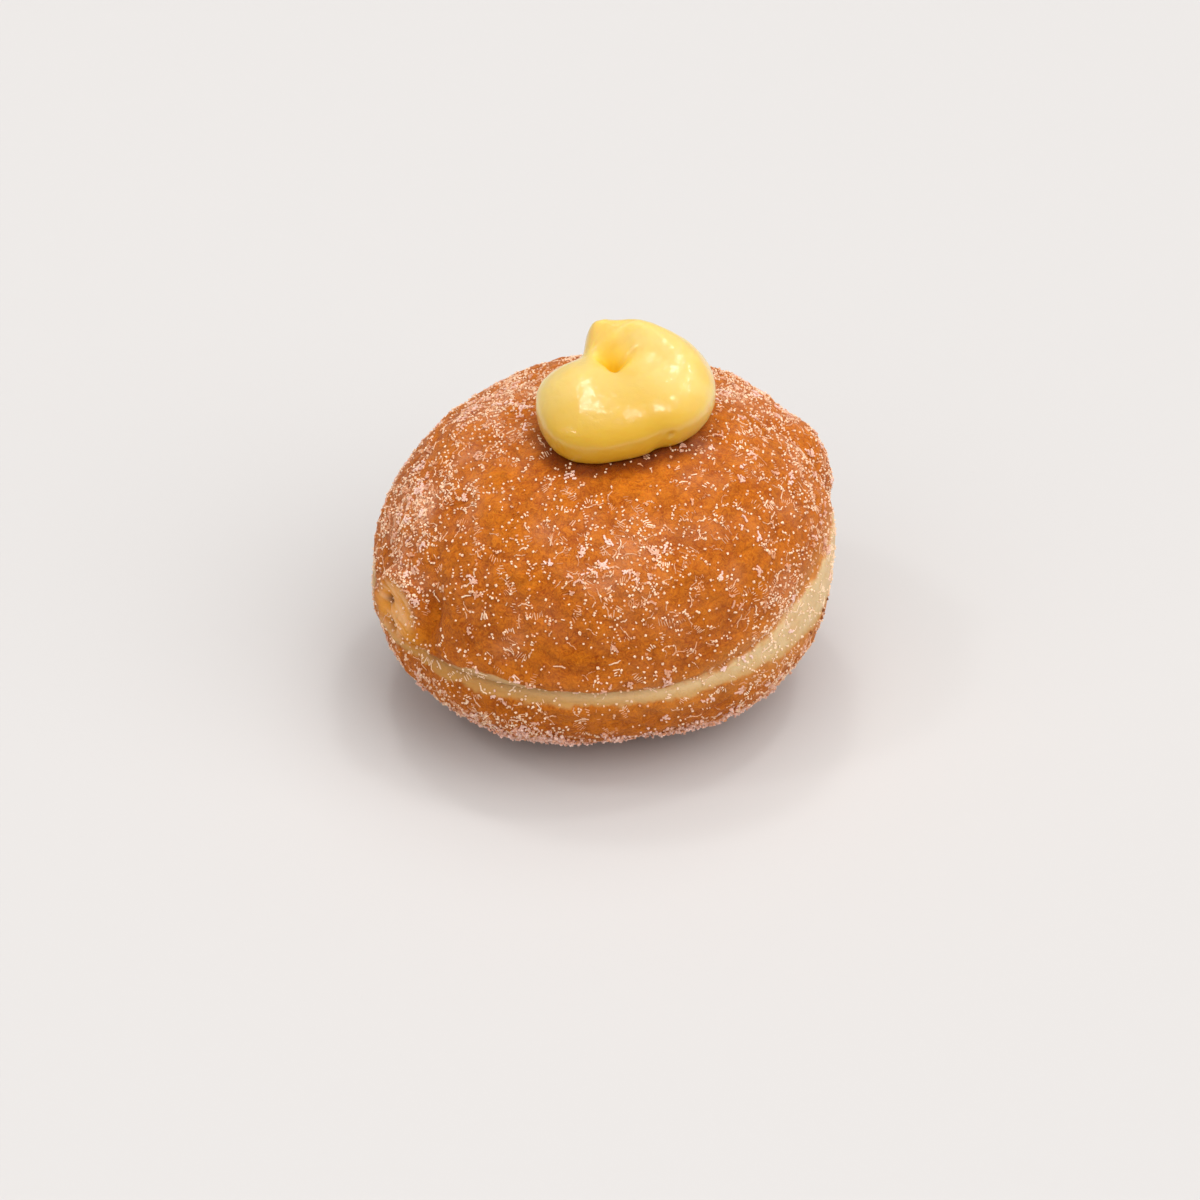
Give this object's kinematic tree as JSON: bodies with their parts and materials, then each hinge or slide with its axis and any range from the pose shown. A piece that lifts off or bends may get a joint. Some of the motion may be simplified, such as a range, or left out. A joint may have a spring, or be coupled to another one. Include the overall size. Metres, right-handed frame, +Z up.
{
  "type": "custard-filled doughnut",
  "caption": "Round deep-fried doughnut with a pale waist band, a torn nub on one side, a sugared crust and a piped curl of custard on top.",
  "frame": {"origin": "middle of the footprint box, on the surface the doughnut stands on", "axes": "+Z up through the custard; -Y towards the front, where the pale band is lowest; -X towards the torn nub"},
  "size_m": [0.0908, 0.0898, 0.0743],
  "materials": {
    "crust": "fried golden-brown crust with a pale band, sugared",
    "custard": "smooth moist yellow custard",
    "sugar": "white sugar crystals"
  },
  "bodies": {
    "root": {"dough": "crust", "custard": "custard"}
  },
  "joints": []
}
